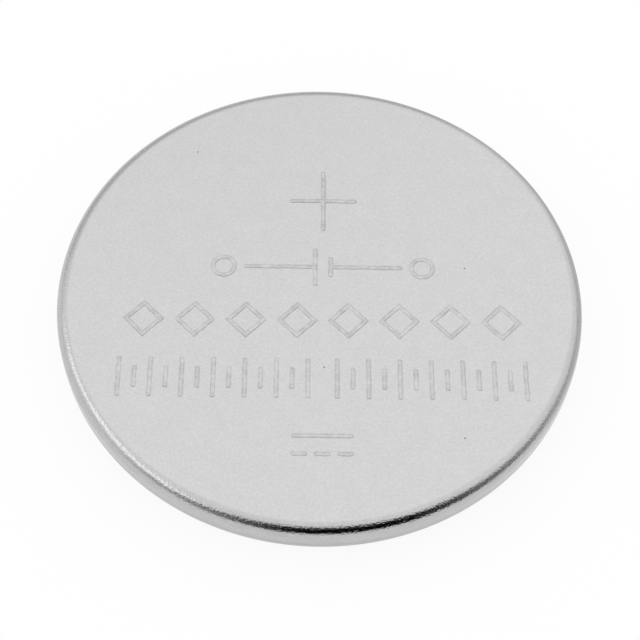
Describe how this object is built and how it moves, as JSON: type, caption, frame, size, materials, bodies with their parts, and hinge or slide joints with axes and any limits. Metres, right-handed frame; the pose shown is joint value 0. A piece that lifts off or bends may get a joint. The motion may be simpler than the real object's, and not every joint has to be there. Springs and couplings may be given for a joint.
{
  "type": "lithium coin cell",
  "caption": "Flat round lithium coin cell: a steel can crimped over a plastic sealing ring and a stepped steel cap, with its electrode stack inside.",
  "frame": {"origin": "centre of the negative cap's outer face, at the base of the cell", "axes": "+Z along the cell's axis, out of the can's flat positive face; X and Y lie in the plane of the cap's face"},
  "size_m": [0.02, 0.02, 0.0025],
  "materials": {
    "can_steel": "nickel-plated stainless steel sheet, fine matt face and satin rim",
    "gasket_plastic": "moulded natural polypropylene, slightly waxy",
    "cap_steel": "nickel-plated stainless steel sheet, pressed and satin",
    "collector_steel": "expanded stainless steel grid",
    "manganese_dioxide": "pressed black powder, matt",
    "separator_fleece": "non-woven polypropylene fleece",
    "lithium_metal": "rolled lithium foil, dull silver"
  },
  "bodies": {
    "root": {"positive_can": "can_steel", "sealing_gasket": "gasket_plastic", "negative_cap": "cap_steel", "cathode_collector": "collector_steel", "cathode_pellet": "manganese_dioxide", "separator": "separator_fleece", "lithium_anode": "lithium_metal"}
  },
  "joints": []
}
